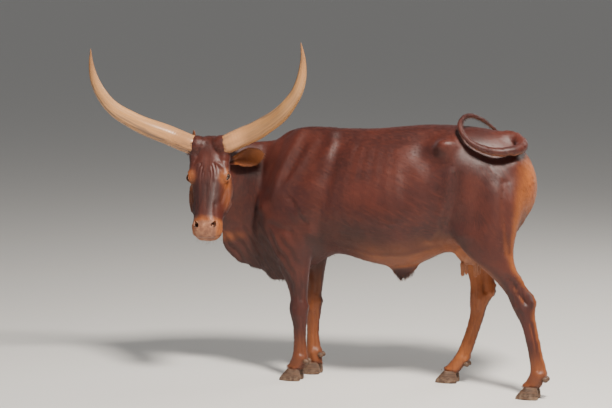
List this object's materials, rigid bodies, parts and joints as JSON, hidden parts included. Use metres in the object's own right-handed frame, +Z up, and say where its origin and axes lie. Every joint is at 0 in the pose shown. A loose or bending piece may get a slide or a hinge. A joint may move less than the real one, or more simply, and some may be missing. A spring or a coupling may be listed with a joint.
{
  "type": "ankole watusi cow, standing life-size model",
  "caption": "Life-size model of a slim, long-horned African cow standing with her head turned to her left and her tail looped over her rump.",
  "frame": {"origin": "on the floor, under the middle of the whole animal's bounding box", "axes": "the cow faces -X with her left side towards -Y; +Z is up"},
  "size_m": [2.3284, 0.9054, 1.8012],
  "materials": {
    "hide": "short glossy red-brown coat",
    "bare_skin": "bare muzzle with short pale hair round it",
    "horn": "smooth horn, streaked, darker towards the tips",
    "claw": "dull hoof horn",
    "eye": "wet dark eye",
    "brush": "long loose hair"
  },
  "bodies": {
    "root": {"eye_left": "eye", "eye_right": "eye", "horn_left": "horn", "horn_right": "horn", "ear_left": "hide", "ear_right": "hide", "tail_root": "hide", "tail_bend": "hide", "tail_end": "hide", "tail_switch": "brush", "fore_left_claw_outer": "claw", "fore_left_dewclaw_outer": "claw", "fore_left_claw_inner": "claw", "fore_left_dewclaw_inner": "claw", "fore_right_claw_outer": "claw", "fore_right_dewclaw_outer": "claw", "fore_right_claw_inner": "claw", "fore_right_dewclaw_inner": "claw", "hind_left_claw_outer": "claw", "hind_left_dewclaw_outer": "claw", "hind_left_claw_inner": "claw", "hind_left_dewclaw_inner": "claw", "hind_right_claw_outer": "claw", "hind_right_dewclaw_outer": "claw", "hind_right_claw_inner": "claw", "hind_right_dewclaw_inner": "claw", "muzzle": "bare_skin", "head": "hide", "neck": "hide", "udder": "hide", "fore_left_lower": "hide", "fore_left_upper": "hide", "fore_right_lower": "hide", "fore_right_upper": "hide", "hind_left_lower": "hide", "hind_left_upper": "hide", "hind_right_lower": "hide", "hind_right_upper": "hide", "trunk": "hide"}
  },
  "joints": []
}
